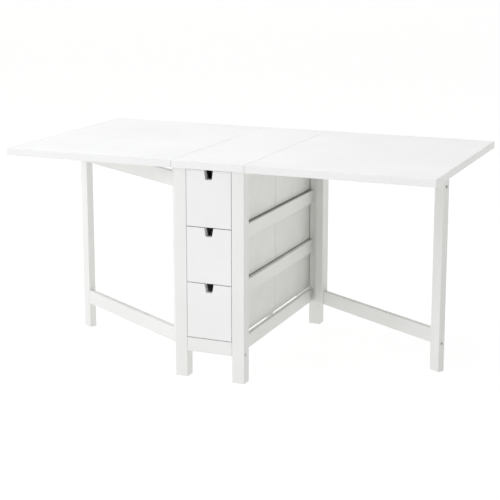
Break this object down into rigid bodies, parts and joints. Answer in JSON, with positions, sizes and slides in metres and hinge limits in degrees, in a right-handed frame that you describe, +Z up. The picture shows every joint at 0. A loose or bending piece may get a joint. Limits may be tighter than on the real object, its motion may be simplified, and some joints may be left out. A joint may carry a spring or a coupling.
{
  "type": "gateleg table",
  "caption": "Folding table with a narrow drawer cabinet in the middle, two drop leaves and two swing-out gates that carry them.",
  "frame": {"origin": "on the floor, under the middle of the opened table", "axes": "+X along the table's length, +Y along its width, +Z up. The table looks the same turned half round about +Z."},
  "size_m": [1.52, 0.8, 0.74],
  "materials": {
    "top_lacquer": "satin white lacquer on board",
    "frame_lacquer": "white painted solid wood",
    "gate_lacquer": "white painted solid wood",
    "drawer_front_lacquer": "satin white lacquer on board",
    "drawer_box_foil": "white foil on board",
    "drawer_base_board": "white painted hardboard",
    "hinge_steel": "zinc plated"
  },
  "bodies": {
    "cabinet": {"top_center": "top_lacquer", "post_front_right": "frame_lacquer", "post_front_left": "frame_lacquer", "post_back_right": "frame_lacquer", "post_back_left": "frame_lacquer", "side_rail_right_bottom": "frame_lacquer", "side_rail_right_lower": "frame_lacquer", "side_rail_right_upper": "frame_lacquer", "side_rail_right_top": "frame_lacquer", "side_rail_left_bottom": "frame_lacquer", "side_rail_left_lower": "frame_lacquer", "side_rail_left_upper": "frame_lacquer", "side_rail_left_top": "frame_lacquer", "end_rail_front": "frame_lacquer", "end_rail_back": "frame_lacquer", "cross_bar": "frame_lacquer", "gate_hinge_right_lower_post": "hinge_steel", "gate_hinge_right_upper_post": "hinge_steel", "leaf_hinge_right_front_fixed": "hinge_steel", "leaf_hinge_right_back_fixed": "hinge_steel", "gate_hinge_left_lower_post": "hinge_steel", "gate_hinge_left_upper_post": "hinge_steel", "leaf_hinge_left_front_fixed": "hinge_steel", "leaf_hinge_left_back_fixed": "hinge_steel"},
    "leaf_right": {"leaf_right": "top_lacquer", "leaf_hinge_right_front_moving": "hinge_steel", "leaf_hinge_right_back_moving": "hinge_steel"},
    "leaf_left": {"leaf_left": "top_lacquer", "leaf_hinge_left_front_moving": "hinge_steel", "leaf_hinge_left_back_moving": "hinge_steel"},
    "gate_right": {"gate_right_stile": "gate_lacquer", "gate_right_leg": "gate_lacquer", "gate_right_bottom_rail": "gate_lacquer", "gate_right_top_rail": "gate_lacquer", "gate_hinge_right_lower_gate": "hinge_steel", "gate_hinge_right_upper_gate": "hinge_steel"},
    "gate_left": {"gate_left_stile": "gate_lacquer", "gate_left_leg": "gate_lacquer", "gate_left_bottom_rail": "gate_lacquer", "gate_left_top_rail": "gate_lacquer", "gate_hinge_left_lower_gate": "hinge_steel", "gate_hinge_left_upper_gate": "hinge_steel"},
    "drawer_front_bottom": {"drawer_front_bottom_front": "drawer_front_lacquer", "drawer_front_bottom_box": "drawer_box_foil", "drawer_front_bottom_base": "drawer_base_board"},
    "drawer_front_middle": {"drawer_front_middle_front": "drawer_front_lacquer", "drawer_front_middle_box": "drawer_box_foil", "drawer_front_middle_base": "drawer_base_board"},
    "drawer_front_top": {"drawer_front_top_front": "drawer_front_lacquer", "drawer_front_top_box": "drawer_box_foil", "drawer_front_top_base": "drawer_base_board"},
    "drawer_back_bottom": {"drawer_back_bottom_front": "drawer_front_lacquer", "drawer_back_bottom_box": "drawer_box_foil", "drawer_back_bottom_base": "drawer_base_board"},
    "drawer_back_middle": {"drawer_back_middle_front": "drawer_front_lacquer", "drawer_back_middle_box": "drawer_box_foil", "drawer_back_middle_base": "drawer_base_board"},
    "drawer_back_top": {"drawer_back_top_front": "drawer_front_lacquer", "drawer_back_top_box": "drawer_box_foil", "drawer_back_top_base": "drawer_base_board"}
  },
  "joints": [
    {"name": "gate_right_swing", "type": "hinge", "parent": "cabinet", "child": "gate_right", "pos_m": [0.129, 0.3462, 0.39], "axis": [0, 0, 1], "range_deg": [-59.2, 0]},
    {"name": "gate_left_swing", "type": "hinge", "parent": "cabinet", "child": "gate_left", "pos_m": [-0.129, -0.3462, 0.39], "axis": [0, 0, 1], "range_deg": [-59.2, 0]},
    {"name": "leaf_right_drop", "type": "hinge", "parent": "cabinet", "child": "leaf_right", "pos_m": [0.13, 0, 0.7117], "axis": [0, 1, 0], "range_deg": [0, 0.05]},
    {"name": "leaf_left_drop", "type": "hinge", "parent": "cabinet", "child": "leaf_left", "pos_m": [-0.13, 0, 0.7117], "axis": [0, -1, 0], "range_deg": [0, 0.05]},
    {"name": "drawer_front_bottom_slide", "type": "slide", "parent": "cabinet", "child": "drawer_front_bottom", "axis": [0, -1, 0], "range_m": [0, 0.26]},
    {"name": "drawer_front_middle_slide", "type": "slide", "parent": "cabinet", "child": "drawer_front_middle", "axis": [0, -1, 0], "range_m": [0, 0.26]},
    {"name": "drawer_front_top_slide", "type": "slide", "parent": "cabinet", "child": "drawer_front_top", "axis": [0, -1, 0], "range_m": [0, 0.26]},
    {"name": "drawer_back_bottom_slide", "type": "slide", "parent": "cabinet", "child": "drawer_back_bottom", "axis": [0, 1, 0], "range_m": [0, 0.26]},
    {"name": "drawer_back_middle_slide", "type": "slide", "parent": "cabinet", "child": "drawer_back_middle", "axis": [0, 1, 0], "range_m": [0, 0.26]},
    {"name": "drawer_back_top_slide", "type": "slide", "parent": "cabinet", "child": "drawer_back_top", "axis": [0, 1, 0], "range_m": [0, 0.26]}
  ]
}
